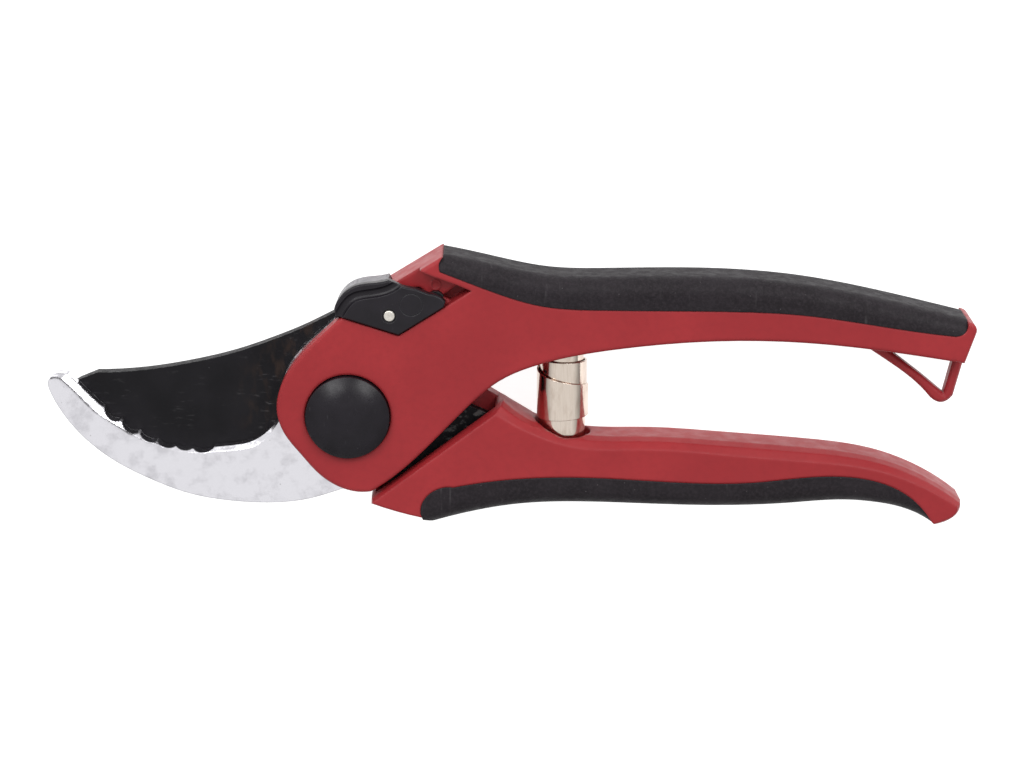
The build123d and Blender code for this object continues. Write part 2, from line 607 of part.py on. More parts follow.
with BuildPart() as pivot_washer:
    with BuildSketch(Plane.XY.offset(NUT_T)):
        Circle(WASHER_R)
        Circle(BOLT_R, mode=Mode.SUBTRACT)
    extrude(amount=WASHER_T)
finish_piece(pivot_washer.part, "pivot_washer")

with BuildPart() as pivot_nut:
    with BuildSketch():
        Circle(NUT_R)
    extrude(amount=NUT_T)
    fillet(pivot_nut.edges().group_by(Axis.Z)[0], NUT_ROUND)
    with BuildSketch():
        with GridLocations(2 * NUT_HOLE_X, 0, 2, 1):
            Circle(NUT_HOLE_R)
    extrude(amount=NUT_HOLE_DEPTH, mode=Mode.SUBTRACT)
    with BuildSketch(Plane.XY.offset(BOLT_BACK)):
        Circle(BOLT_R)
    extrude(amount=NUT_T, mode=Mode.SUBTRACT)
finish_piece(pivot_nut.part, "pivot_nut")


# ---- tang screws, driven in from the back ----
SCREW_HEAD_BASE = 0.5
SCREW_HEAD_ROUND = 0.4
CROSS_LENGTH, CROSS_WIDTH = 3.2, 0.7
CROSS_DEPTH = 1.1


def tang_screws(places, tip):
    """Return a group of pan head screws with a cross recess, one at each place."""
    with BuildPart() as screws:
        with BuildSketch(Plane.XY.offset(SCREW_HEAD_BASE)):
            with Locations(*places):
                Circle(SCREW_HEAD_R)
        extrude(amount=SCREW_HEAD_TOP - SCREW_HEAD_BASE)
        fillet(screws.edges().group_by(Axis.Z)[0], SCREW_HEAD_ROUND)
        with BuildSketch(Plane.XY.offset(SCREW_HEAD_TOP)):
            with Locations(*places):
                Circle(SCREW_R)
        extrude(amount=tip - SCREW_HEAD_TOP)
        with BuildSketch(Plane.XY.offset(SCREW_HEAD_BASE)):
            with Locations(*places):
                Rectangle(CROSS_LENGTH, CROSS_WIDTH)
                Rectangle(CROSS_WIDTH, CROSS_LENGTH)
        extrude(amount=CROSS_DEPTH, mode=Mode.SUBTRACT)
    return screws.part


finish_piece(tang_screws(HOOK_SCREWS, SCREW_TIP), "hook_tang_screws")
finish_piece(tang_screws(BLADE_SCREWS, BLADE_SCREW_TIP), "blade_tang_screws")


# ---- volute spring and the pegs that centre it ----
SPRING_BORE_R = 3.4
SPRING_COIL_LOW, SPRING_COIL_HIGH = -1.6, 6.2    # the widest turn covers this stretch
SPRING_STEP = 0.3

with BuildPart() as volute_spring:
    with BuildSketch(Plane.XY.offset(SPRING_Z)):
        with BuildLine():
            Polyline(
                (SPRING_X + SPRING_BORE_R, SPRING_BOTTOM),
                (SPRING_X + SPRING_END_R, SPRING_BOTTOM),
                (SPRING_X + SPRING_END_R, SPRING_COIL_LOW - SPRING_STEP),
                (SPRING_X + SPRING_R, SPRING_COIL_LOW + SPRING_STEP),
                (SPRING_X + SPRING_R, SPRING_COIL_HIGH - SPRING_STEP),
                (SPRING_X + SPRING_END_R, SPRING_COIL_HIGH + SPRING_STEP),
                (SPRING_X + SPRING_END_R, SPRING_TOP),
                (SPRING_X + SPRING_BORE_R, SPRING_TOP),
                close=True,
            )
        make_face()
    revolve(axis=Axis((SPRING_X, 0, SPRING_Z), (0, 1, 0)))
finish_piece(volute_spring.part, "volute_spring")


def spring_peg(floor, outward):
    """Return a headed peg pressed into a pocket floor; outward is +1 or -1 along Y into the handle."""
    into_handle = (0, outward, 0)
    out_of_handle = (0, -outward, 0)
    with BuildPart() as peg:
        with BuildSketch(Plane((SPRING_X, floor, SPRING_Z), z_dir=into_handle)):
            Circle(PEG_R)
        extrude(amount=PEG_DEPTH)
        with BuildSketch(Plane((SPRING_X, floor, SPRING_Z), z_dir=out_of_handle)):
            Circle(PEG_HEAD_R)
        extrude(amount=PEG_HEAD_T)
        rims = peg.edges().filter_by(GeomType.CIRCLE).sort_by(Axis.Y)
        fillet(rims[0 if outward > 0 else -1], PEG_HEAD_ROUND)
    return peg.part


finish_piece(spring_peg(UPPER_POCKET_FLOOR, 1), "upper_spring_peg")
finish_piece(spring_peg(LOWER_POCKET_FLOOR, -1), "lower_spring_peg")


# ---- thumb lock: slider, pin, retaining clip and detent leaf ----
PLATE_BACK = 14.4                # underside of the lock plate, over the detent leaf
PAD_BACK = 8.2                   # the pad reaches back to here, over the edge of the hook
RAMP_GAP = 0.35 / math.cos(math.radians(LOCK_ANGLE))
BOSS_R = 3.2
CLIP_R = 2.6
CLIP_Z = 9.9
CLIP_T = 0.6
CLIP_MOUTH = 1.6
LEAF_T = 0.6
LEAF_R = 2.0
LEAF_MOUTH = 1.6
LEAF_ALONG, LEAF_ACROSS = 10.3, 2.8    # place of the leaf, from the pin, along and square to the travel
PLATE_EDGE = 0.3                 # chamfer round the face of the plate
PAD_OVERLAP = 0.5                # the pad reaches this far into the plate
GROOVE_R = 1.15                  # scooped thumb groove along the pad, and how far its axis lies over the face
GROOVE_RISE = 0.35
PLATE_MARK = (14.5, 25.9)        # ring that the moulding tool leaves on the face of the plate
PLATE_MARK_R = 2.6
PLATE_MARK_LINE = 0.2
PLATE_MARK_DEPTH = 0.1


def above_ramp(x):
    """The point at this X that lies just clear of the ramp."""
    return (x, RAMP_FOOT[1] + (x - RAMP_FOOT[0]) * LOCK_DIR.Y / LOCK_DIR.X + RAMP_GAP)


with BuildSketch() as pad_outline:
    with BuildLine():
        Line(above_ramp(-2.4), above_ramp(10.1))
        Line(above_ramp(10.1), (9.4, 31.2))
        Spline((9.4, 31.2), (6.9, 30.7), (3.5, 30.3), (0.4, 29.0), (-1.5, 26.9), (-2.4, 24.9))
        Line((-2.4, 24.9), above_ramp(-2.4))
    make_face()

with BuildSketch() as lock_plate_outline:
    with BuildLine():
        Polyline((-2.6, 24.9), (-2.3, 23.4), (-1.2, 23.05), (11.6, 18.95), (21.7, 25.3))
        Line((21.7, 25.3), (22.1, 26.4))
        Spline((22.1, 26.4), (20.9, 27.6), (18.6, 28.3))
        Polyline((18.6, 28.3), (15.6, 29.4), (12.6, 30.0), (9.6, 31.5))
        Spline((9.6, 31.5), (6.9, 30.9), (3.4, 30.5), (0.3, 29.2), (-1.7, 27.0), (-2.6, 24.9))
    make_face()

with BuildPart() as lock_slider:
    with BuildSketch(Plane.XY.offset(PLATE_BACK)):
        add(lock_plate_outline.sketch)
    extrude(amount=LOCK_FRONT - PLATE_BACK)
    chamfer(lock_slider.edges().group_by(Axis.Z)[-1], PLATE_EDGE)
    with BuildSketch(Plane.XY.offset(LOCK_FRONT)):
        with Locations(PLATE_MARK):
            Circle(PLATE_MARK_R)
            Circle(PLATE_MARK_R - PLATE_MARK_LINE, mode=Mode.SUBTRACT)
    extrude(amount=-PLATE_MARK_DEPTH, mode=Mode.SUBTRACT)
    with BuildLine(Plane.XY.offset(LOCK_FRONT + GROOVE_RISE)) as groove:
        Spline((-3.1, 20.6), (-1.0, 24.5), (1.6, 27.5), (5.2, 28.4), (8.6, 29.1), (12.2, 31.4))
    with BuildSketch(Plane(groove.line @ 0, z_dir=groove.line % 0)):
        Circle(GROOVE_R)
    sweep(path=groove.line, mode=Mode.SUBTRACT)
    with BuildSketch(Plane.XY.offset(PAD_BACK)):
        add(pad_outline.sketch)
    extrude(amount=PLATE_BACK - PAD_BACK + PAD_OVERLAP)
    with BuildSketch(Plane.XY.offset(LOCK_FLOOR + SIDE_GAP / 3)):
        with Locations((LOCK_PIN_X, LOCK_PIN_Y)):
            Circle(BOSS_R)
    extrude(amount=PLATE_BACK - LOCK_FLOOR)
    with BuildSketch(Plane.XY.offset(LOCK_FLOOR)):
        with Locations((LOCK_PIN_X, LOCK_PIN_Y)):
            Circle(LOCK_PIN_R)
    extrude(amount=LOCK_FRONT, mode=Mode.SUBTRACT)
    with BuildSketch(Plane.XY.offset(LOCK_FRONT)):
        with Locations((LOCK_PIN_X, LOCK_PIN_Y)):
            Circle(LOCK_PIN_R + LOCK_PIN_PLAY)
    extrude(amount=-LOCK_PIN_PLAY, mode=Mode.SUBTRACT)
finish_piece(lock_slider.part, "lock_slider")

with BuildPart() as lock_pin:
    with BuildSketch(Plane.XY.offset(BLADE_TOP + SIDE_GAP)):
        with Locations((LOCK_PIN_X, LOCK_PIN_Y)):
            Circle(LOCK_PIN_R)
    extrude(amount=LOCK_FRONT + LOCK_PIN_RISE - BLADE_TOP - SIDE_GAP)
    fillet(lock_pin.edges().group_by(Axis.Z)[-1], LOCK_PIN_ROUND)
finish_piece(lock_pin.part, "lock_pin")

with BuildPart() as lock_clip:
    with BuildSketch(Plane.XY.offset(CLIP_Z)):
        with Locations((LOCK_PIN_X, LOCK_PIN_Y)):
            Circle(CLIP_R)
            Circle(LOCK_PIN_R, mode=Mode.SUBTRACT)
        with Locations(along_lock(-CLIP_R)):
            Rectangle(2 * CLIP_R, CLIP_MOUTH, rotation=LOCK_ANGLE, mode=Mode.SUBTRACT)
    extrude(amount=CLIP_T)
finish_piece(lock_clip.part, "lock_clip")

leaf_centre = Vector(along_lock(LEAF_ALONG)) + Vector(LOCK_DIR.Y, -LOCK_DIR.X) * LEAF_ACROSS
with BuildPart() as lock_detent_spring:
    with BuildSketch(Plane.XY.offset(LOCK_FLOOR)):
        with Locations((leaf_centre.X, leaf_centre.Y)):
            Circle(LEAF_R)
            Circle(LEAF_R - LEAF_T, mode=Mode.SUBTRACT)
        with Locations((leaf_centre.X + LEAF_R, leaf_centre.Y)):
            Rectangle(2 * LEAF_R, LEAF_MOUTH, mode=Mode.SUBTRACT)
    extrude(amount=PLATE_BACK - LOCK_FLOOR - SIDE_GAP)
finish_piece(lock_detent_spring.part, "lock_detent_spring")
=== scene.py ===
"""Bypass pruner: materials, the wound volute spring and a studio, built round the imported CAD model."""

import math

import bpy
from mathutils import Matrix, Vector
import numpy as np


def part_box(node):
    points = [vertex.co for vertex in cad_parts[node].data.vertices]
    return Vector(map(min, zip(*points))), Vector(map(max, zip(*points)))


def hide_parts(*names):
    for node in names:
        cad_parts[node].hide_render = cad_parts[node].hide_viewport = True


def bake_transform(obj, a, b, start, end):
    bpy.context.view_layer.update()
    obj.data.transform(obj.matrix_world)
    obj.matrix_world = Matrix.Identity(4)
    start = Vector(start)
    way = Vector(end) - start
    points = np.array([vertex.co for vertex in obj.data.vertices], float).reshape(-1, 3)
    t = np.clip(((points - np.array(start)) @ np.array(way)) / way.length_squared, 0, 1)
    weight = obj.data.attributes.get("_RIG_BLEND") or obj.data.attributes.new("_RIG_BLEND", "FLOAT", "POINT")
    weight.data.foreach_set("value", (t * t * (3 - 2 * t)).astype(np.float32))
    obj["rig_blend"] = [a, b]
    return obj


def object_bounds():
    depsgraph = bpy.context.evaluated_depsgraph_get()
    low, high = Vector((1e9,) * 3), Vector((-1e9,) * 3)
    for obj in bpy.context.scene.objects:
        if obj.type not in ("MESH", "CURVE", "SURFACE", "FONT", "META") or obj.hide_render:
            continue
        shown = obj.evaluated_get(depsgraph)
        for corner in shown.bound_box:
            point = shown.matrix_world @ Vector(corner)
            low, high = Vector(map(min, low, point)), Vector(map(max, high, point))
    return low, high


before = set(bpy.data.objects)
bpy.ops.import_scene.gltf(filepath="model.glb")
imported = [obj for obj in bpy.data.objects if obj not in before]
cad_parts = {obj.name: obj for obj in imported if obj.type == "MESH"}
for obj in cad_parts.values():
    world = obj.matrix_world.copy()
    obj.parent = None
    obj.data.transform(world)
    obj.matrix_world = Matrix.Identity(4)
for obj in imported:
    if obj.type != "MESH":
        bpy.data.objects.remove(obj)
cad_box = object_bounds()

MM = 0.001
PIVOT = sum(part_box("pivot_bolt"), Vector()) / 2     # a point on the handles' axis


# ---- shader building blocks ----
MIX_SHARE, MIX_FIRST, MIX_SECOND = 0, 6, 7     # a Mix node's colour sockets, whose names are not unique
MIX_COLOUR = 2                                 # and its colour output
NOISE_SPAN = (0.3, 0.7)                        # nearly all values of a noise lie in here
BEVEL_SAMPLES = 6


def start_material(name):
    """Return a new material, its node tree and its Principled shader."""
    material = bpy.data.materials.new(name)
    material.use_nodes = True
    tree = material.node_tree
    return material, tree, tree.nodes["Principled BSDF"]


def add_node(tree, kind, sockets=None, **settings):
    """Add a node; sockets holds, by name or number, a constant or the output socket that feeds each."""
    made = tree.nodes.new("ShaderNode" + kind)
    for key, value in settings.items():
        setattr(made, key, value)
    for key, value in (sockets or {}).items():
        if isinstance(value, bpy.types.NodeSocket):
            tree.links.new(value, made.inputs[key])
        else:
            made.inputs[key].default_value = value
    return made


def texture_point(tree, output):
    """Return one of the texture coordinates: Object, Normal or Generated."""
    return add_node(tree, "TexCoord").outputs[output]


def dot(tree, first, second):
    """Return the dot product of two vectors."""
    return add_node(tree, "VectorMath", {0: first, 1: second}, operation="DOT_PRODUCT").outputs["Value"]


def place(tree, stretch=(1, 1, 1)):
    """Return the point on the piece in metres, each axis multiplied by its stretch."""
    mapping = add_node(tree, "Mapping", {"Vector": texture_point(tree, "Object"), "Scale": stretch})
    return mapping.outputs["Vector"]


def noise(tree, size, detail=3.0, stretch=(1, 1, 1), rough=0.55):
    """Return soft noise, 0 to 1, whose blotches are about this many millimetres across."""
    made = add_node(
        tree, "TexNoise",
        {"Vector": place(tree, stretch), "Scale": 1 / (size * MM), "Detail": detail, "Roughness": rough},
    )
    return made.outputs["Fac"]


def remap(tree, value, low, high, to_low=0.0, to_high=1.0):
    """Return the value, mapped from one range to another and held inside it."""
    made = add_node(
        tree, "MapRange",
        {"Value": value, "From Min": low, "From Max": high, "To Min": to_low, "To Max": to_high},
        interpolation_type="SMOOTHSTEP",
    )
    return made.outputs["Result"]


def maths(tree, operation, first, second):
    """Return the result of one arithmetic step."""
    return add_node(tree, "Math", {0: first, 1: second}, operation=operation).outputs["Value"]


def mix_colour(tree, share, first, second):
    """Return a blend of two colours; share 0 gives the first. A constant colour is a tuple of three."""
    first, second = ((*colour, 1.0) if isinstance(colour, tuple) else colour for colour in (first, second))
    sockets = {MIX_SHARE: share, MIX_FIRST: first, MIX_SECOND: second}
    return add_node(tree, "Mix", sockets, data_type="RGBA").outputs[MIX_COLOUR]


def soft_edges(tree, radius):
    """Return the surface normal, rounded over the edges within this many millimetres."""
    return add_node(tree, "Bevel", {"Radius": radius * MM}, samples=BEVEL_SAMPLES).outputs["Normal"]


def edge_mask(tree, radius, low=0.02, high=0.25):
    """Return 1 along edges and 0 on flat faces, within about this many millimetres."""
    flat = add_node(tree, "NewGeometry").outputs["Normal"]
    turned = maths(tree, "SUBTRACT", 1.0, dot(tree, soft_edges(tree, radius), flat))
    return remap(tree, turned, low, high)


def facing(tree, direction):
    """Return how far the surface faces a direction of its own body, from -1 to 1."""
    return dot(tree, texture_point(tree, "Normal"), direction)


def bump(tree, height, depth, normal):
    """Return the normal with a relief of this depth in millimetres added."""
    made = add_node(tree, "Bump", {"Height": height, "Distance": depth * MM, "Normal": normal})
    return made.outputs["Normal"]


def feed(tree, shader, colour, roughness, normal):
    """Link what varies over the surface to the shader."""
    for socket, value in (("Base Color", colour), ("Roughness", roughness), ("Normal", normal)):
        tree.links.new(value, shader.inputs[socket])


def from_pivot(tree):
    """Return the distance from the pivot's axis in millimetres."""
    sockets = {0: place(tree, (1, 1, 0)), 1: (PIVOT.x, PIVOT.y, 0)}
    gap = add_node(tree, "VectorMath", sockets, operation="DISTANCE")
    return maths(tree, "MULTIPLY", gap.outputs["Value"], 1 / MM)


def along(tree, direction):
    """Return the dot product of the point on the piece, in millimetres, and a direction."""
    return maths(tree, "MULTIPLY", dot(tree, texture_point(tree, "Object"), direction), 1 / MM)


def specks(tree, spacing, size):
    """Return 1 inside small round specks that lie about this many millimetres apart."""
    sockets = {"Vector": place(tree), "Scale": 1 / (spacing * MM), "Randomness": 1.0}
    made = add_node(tree, "TexVoronoi", sockets)
    return remap(tree, made.outputs["Distance"], size / spacing, 0.5 * size / spacing)


# ---- where the wear, the stains and the painted light lie: directions, and the ranges of along() in which each fades from 0 to 1 ----
X_AXIS = (1, 0, 0)
Z_AXIS = (0, 0, 1)
# the next five set where the hook's painted dark reflection line lies
JAW_ACROSS = (1.07, 1.0, 0.0)    # across the hook's jaw near its tip, towards the inner edge
JAW_MIDDLE = (-64.6, -63.8)
TIP_FADE = (-42.0, -50.0)        # X, from the jaw's middle to its tip
HEAD_ACROSS = (-1.0, 1.0, 0.0)   # from the pivot to the rim of the hook's head
HEAD_RIM = (15.0, 16.5)
HEAD_FADE = (-19.0, -17.0)       # X, from the jaw to the head
SAP_REACH = (28.0, 17.0)         # millimetres from the pivot
TANG_START = (18.0, 25.0)        # X, from the blade to its tang
PAD_UP = (-0.35, 0.93, 0.0)      # out of the lock's pad: faces turned this way get a painted sheen
PAD_TOP = (14.6, 13.4)           # Z, from the lock's plate down to the pad, over which the painted sheen fades in


# ---- materials ----
def red_nylon():
    """Satin red moulded plastic: fine grain, slow colour drift, pale rubbed edges, a few dark specks."""
    material, tree, shader = start_material("red_nylon")
    drift = remap(tree, noise(tree, 22.0, 2.0), *NOISE_SPAN)
    colour = mix_colour(tree, drift, (0.248, 0.0163, 0.0203), (0.283, 0.0198, 0.0238))
    marbling = remap(tree, noise(tree, 1.6, 5.0), 0.35, 0.75)
    colour = mix_colour(tree, maths(tree, "MULTIPLY", marbling, 0.30), colour, (0.205, 0.014, 0.018))
    wear = remap(tree, noise(tree, 5.0), *NOISE_SPAN, 0.05, 0.24)
    rubbed = maths(tree, "MULTIPLY", edge_mask(tree, 0.7), wear)
    colour = mix_colour(tree, rubbed, colour, (0.55, 0.13, 0.14))
    dirt = maths(tree, "MULTIPLY", specks(tree, 5.0, 0.10), 0.55)
    colour = mix_colour(tree, dirt, colour, (0.08, 0.012, 0.014))
    roughness = remap(tree, noise(tree, 3.0, 4.0), *NOISE_SPAN, 0.36, 0.50)
    normal = bump(tree, noise(tree, 9.0, 2.0), 0.05, soft_edges(tree, 0.90))
    normal = bump(tree, noise(tree, 0.35, 3.0), 0.012, normal)
    feed(tree, shader, colour, roughness, normal)
    shader.inputs["Specular IOR Level"].default_value = 0.24
    return material


def grip_rubber():
    """Matte dark grey rubber: pebbled grain, pale scuffs across the grip, dust specks."""
    material, tree, shader = start_material("grip_rubber")
    drift = remap(tree, noise(tree, 12.0, 3.0), *NOISE_SPAN)
    colour = mix_colour(tree, drift, (0.0095, 0.0074, 0.0092), (0.0142, 0.0114, 0.0138))
    mottle = remap(tree, noise(tree, 0.75, 5.0, rough=0.8), 0.42, 0.64, 0.0, 0.75)
    colour = mix_colour(tree, mottle, colour, (0.0225, 0.0180, 0.0215))
    scratches = remap(tree, noise(tree, 0.9, 4.0, stretch=(1.0, 0.09, 0.25)), 0.60, 0.78)
    patches = remap(tree, noise(tree, 14.0, 2.0), 0.45, 0.70)
    scuffed = maths(tree, "MULTIPLY", maths(tree, "MULTIPLY", scratches, patches), 0.40)
    colour = mix_colour(tree, scuffed, colour, (0.105, 0.100, 0.103))
    dust = maths(tree, "MULTIPLY", specks(tree, 1.9, 0.11), 0.40)
    colour = mix_colour(tree, dust, colour, (0.22, 0.21, 0.21))
    rubbed = maths(tree, "MULTIPLY", edge_mask(tree, 0.5), 0.25)
    colour = mix_colour(tree, rubbed, colour, (0.06, 0.055, 0.06))
    roughness = remap(tree, noise(tree, 2.0, 4.0), *NOISE_SPAN, 0.52, 0.68)
    pebbles = add_node(
        tree, "TexVoronoi", {"Vector": place(tree), "Scale": 1 / (0.42 * MM)}, feature="SMOOTH_F1",
    )
    normal = bump(tree, pebbles.outputs["Distance"], 0.035, soft_edges(tree, 0.5))
    normal = bump(tree, noise(tree, 6.0, 2.0), 0.05, normal)
    feed(tree, shader, colour, roughness, normal)
    shader.inputs["Specular IOR Level"].default_value = 0.14
    return material


def hook_chrome():
    """Chromed forging: bright, a little wavy, with fine pits, cloudy spots, and a painted dark line along
    some edges near the tip and the head, standing in for a dark reflection.
    """
    material, tree, shader = start_material("hook_chrome")
    cloud = remap(tree, noise(tree, 3.5, 5.0), 0.42, 0.72)
    colour = mix_colour(tree, cloud, (0.85, 0.84, 0.885), (0.69, 0.68, 0.72))
    pitted = remap(tree, noise(tree, 8.0), 0.48, 0.62, 0.0, 0.55)
    pits = maths(tree, "MULTIPLY", specks(tree, 2.2, 0.20), pitted)
    colour = mix_colour(tree, pits, colour, (0.34, 0.33, 0.34))
    broken = remap(tree, noise(tree, 2.0, 4.0), 0.36, 0.50, 0.55, 1.0)
    inner_side = remap(tree, along(tree, JAW_ACROSS), *JAW_MIDDLE)
    near_tip = maths(tree, "MULTIPLY", inner_side, remap(tree, along(tree, X_AXIS), *TIP_FADE))
    rim_side = remap(tree, along(tree, HEAD_ACROSS), *HEAD_RIM)
    near_head = maths(tree, "MULTIPLY", rim_side, remap(tree, along(tree, X_AXIS), *HEAD_FADE))
    dark_line_reach = maths(tree, "MULTIPLY", maths(tree, "MAXIMUM", near_tip, near_head), broken)
    # painted reflection: edges near the jaw's tip and the head's rim are painted near-black and made less
    # metallic, as a dark reflected line
    painted_dark_line = maths(tree, "MULTIPLY", edge_mask(tree, 0.80, 0.003, 0.012), dark_line_reach)
    colour = mix_colour(tree, painted_dark_line, colour, (0.020, 0.018, 0.020))
    polish = remap(tree, noise(tree, 1.2, 5.0), *NOISE_SPAN, 0.10, 0.24)
    roughness = maths(tree, "ADD", polish, maths(tree, "MULTIPLY", painted_dark_line, 0.45))
    normal = bump(tree, noise(tree, 4.5, 2.0), 0.18, soft_edges(tree, 0.35))
    normal = bump(tree, noise(tree, 0.8, 4.0), 0.012, normal)
    feed(tree, shader, colour, roughness, normal)
    tree.links.new(maths(tree, "SUBTRACT", 1.0, painted_dark_line), shader.inputs["Metallic"])
    return material


def blade_coated():
    """Black coating on steel, scuffed and browned by sap near the pivot, rubbed pale along its edges."""
    material, tree, shader = start_material("blade_coated")
    drift = remap(tree, noise(tree, 9.0, 3.0), *NOISE_SPAN)
    coat = mix_colour(tree, drift, (0.0050, 0.0046, 0.0058), (0.0080, 0.0073, 0.0090))
    near_pivot = remap(tree, from_pivot(tree), *SAP_REACH)
    sap = remap(tree, noise(tree, 2.6, 5.0, stretch=(1.0, 0.45, 1.0)), 0.48, 0.68, 0.0, 0.60)
    coat = mix_colour(tree, maths(tree, "MULTIPLY", sap, near_pivot), coat, (0.030, 0.018, 0.013))
    streaks = remap(tree, noise(tree, 0.6, 5.0, stretch=(0.25, 1.0, 1.0)), 0.56, 0.78)
    patches = remap(tree, noise(tree, 7.0, 3.0), 0.46, 0.66)
    spread = maths(tree, "ADD", maths(tree, "MULTIPLY", near_pivot, 0.40), 0.12)
    scuffed = maths(tree, "MULTIPLY", maths(tree, "MULTIPLY", streaks, patches), spread)
    coat = mix_colour(tree, scuffed, coat, (0.17, 0.165, 0.17))
    smears = remap(tree, noise(tree, 1.3, 5.0, stretch=(0.6, 1.0, 1.0)), 0.50, 0.66, 0.0, 0.45)
    tang = remap(tree, along(tree, X_AXIS), *TANG_START)
    coat = mix_colour(tree, maths(tree, "MULTIPLY", smears, tang), coat, (0.20, 0.19, 0.19))
    dust = maths(tree, "MULTIPLY", specks(tree, 3.0, 0.08), 0.45)
    coat = mix_colour(tree, dust, coat, (0.32, 0.32, 0.33))
    wear = remap(tree, noise(tree, 1.5, 3.0), 0.40, 0.60, 0.10, 0.60)
    worn = maths(tree, "MULTIPLY", edge_mask(tree, 0.18), wear)
    colour = mix_colour(tree, worn, coat, (0.30, 0.30, 0.31))
    roughness = remap(tree, noise(tree, 1.6, 4.0), *NOISE_SPAN, 0.42, 0.58)
    normal = bump(tree, noise(tree, 0.30, 3.0), 0.012, soft_edges(tree, 0.15))
    feed(tree, shader, colour, roughness, normal)
    shader.inputs["Specular IOR Level"].default_value = 0.13
    return material


def black_plastic(name, grain, low, high, specular):
    """Return the parts of a satin black moulded plastic with fine scratches and dust.

    Grain is the depth of its relief in millimetres, low and high are the limits of its roughness.
    """
    material, tree, shader = start_material(name)
    drift = remap(tree, noise(tree, 6.0, 3.0), *NOISE_SPAN)
    colour = mix_colour(tree, drift, (0.0068, 0.0055, 0.0078), (0.0105, 0.0086, 0.0120))
    scratches = remap(tree, noise(tree, 0.5, 4.0, stretch=(1.0, 0.15, 1.0)), 0.64, 0.80)
    colour = mix_colour(tree, maths(tree, "MULTIPLY", scratches, 0.18), colour, (0.12, 0.12, 0.13))
    dust = maths(tree, "MULTIPLY", specks(tree, 3.2, 0.08), 0.40)
    colour = mix_colour(tree, dust, colour, (0.26, 0.26, 0.27))
    rubbed = maths(tree, "MULTIPLY", edge_mask(tree, 0.35), 0.30)
    colour = mix_colour(tree, rubbed, colour, (0.12, 0.12, 0.13))
    roughness = remap(tree, noise(tree, 2.5, 4.0), *NOISE_SPAN, low, high)
    normal = bump(tree, noise(tree, 5.0, 2.0), 0.05, soft_edges(tree, 0.30))
    normal = bump(tree, noise(tree, 0.25, 3.0), grain, normal)
    shader.inputs["Specular IOR Level"].default_value = specular
    return material, tree, shader, colour, roughness, normal


def cap_plastic():
    """The dome over the pivot: smooth satin black."""
    parts = black_plastic("cap_plastic", 0.010, 0.24, 0.36, 0.20)
    material, tree, shader, colour, roughness, normal = parts
    feed(tree, shader, colour, roughness, normal)
    return material


def lock_plastic():
    """The thumb lock: satin black face, and a pad painted grey where it faces up, as a painted sheen, with
    small scattered dimples given a relief and darkened with painted shade.
    """
    parts = black_plastic("lock_plastic", 0.014, 0.30, 0.44, 0.24)
    material, tree, shader, colour, roughness, normal = parts
    # painted sheen: the pad's faces turned up towards the light are painted grey
    painted_sheen_mask = remap(tree, facing(tree, PAD_UP), 0.55, 0.85)
    painted_sheen_mask = maths(tree, "MULTIPLY", painted_sheen_mask, remap(tree, along(tree, Z_AXIS), *PAD_TOP))
    dimples = add_node(
        tree, "TexVoronoi", {"Vector": place(tree), "Scale": 1 / (1.1 * MM), "Randomness": 0.35},
    )
    # painted shade: the dimples inside the painted sheen are painted dark, as well as given a relief by bump
    dimple_relief_and_shade = maths(tree, "MULTIPLY", remap(tree, dimples.outputs["Distance"], 0.30, 0.15), painted_sheen_mask)
    patches = remap(tree, noise(tree, 1.8, 4.0), *NOISE_SPAN, 0.65, 1.0)
    colour = mix_colour(tree, maths(tree, "MULTIPLY", painted_sheen_mask, patches), colour, (0.155, 0.150, 0.165))
    colour = mix_colour(tree, maths(tree, "MULTIPLY", dimple_relief_and_shade, 0.7), colour, (0.03, 0.03, 0.035))
    normal = bump(tree, maths(tree, "SUBTRACT", 1.0, dimple_relief_and_shade), 0.12, normal)
    feed(tree, shader, colour, roughness, normal)
    return material


def spring_nickel():
    """Nickelled spring strip, brushed along the spring's axis, with brown tarnish in places and a painted
    glint along its edges.
    """
    material, tree, shader = start_material("spring_nickel")
    brushing = remap(tree, noise(tree, 0.35, 4.0, stretch=(1.0, 0.06, 1.0)), *NOISE_SPAN)
    colour = mix_colour(tree, brushing, (0.73, 0.63, 0.545), (0.78, 0.68, 0.59))
    tarnish = remap(tree, noise(tree, 2.4, 4.0, stretch=(1.0, 0.35, 1.0)), 0.46, 0.70, 0.0, 0.42)
    colour = mix_colour(tree, tarnish, colour, (0.44, 0.33, 0.26))
    # painted highlight: the strip's edges are painted paler, as glints
    painted_edge_glint = maths(tree, "MULTIPLY", edge_mask(tree, 0.15), 0.6)
    colour = mix_colour(tree, painted_edge_glint, colour, (0.92, 0.87, 0.82))
    roughness = remap(tree, noise(tree, 0.6, 3.0, stretch=(1.0, 0.15, 1.0)), *NOISE_SPAN, 0.09, 0.16)
    normal = bump(tree, brushing, 0.0015, soft_edges(tree, 0.08))
    feed(tree, shader, colour, roughness, normal)
    shader.inputs["Metallic"].default_value = 1.0
    return material


def turned_metal(name, dark, light, rough):
    """Machined metal with fine marks and small dull patches."""
    material, tree, shader = start_material(name)
    marks = remap(tree, noise(tree, 0.25, 4.0, stretch=(1.0, 1.0, 0.2)), *NOISE_SPAN)
    colour = mix_colour(tree, marks, dark, light)
    dull = remap(tree, noise(tree, 1.4, 4.0), 0.45, 0.70, 0.0, 0.3)
    colour = mix_colour(tree, dull, colour, tuple(0.55 * part for part in dark))
    roughness = remap(tree, noise(tree, 0.8, 3.0), *NOISE_SPAN, rough, rough + 0.14)
    normal = bump(tree, marks, 0.010, soft_edges(tree, 0.15))
    feed(tree, shader, colour, roughness, normal)
    shader.inputs["Metallic"].default_value = 1.0
    return material


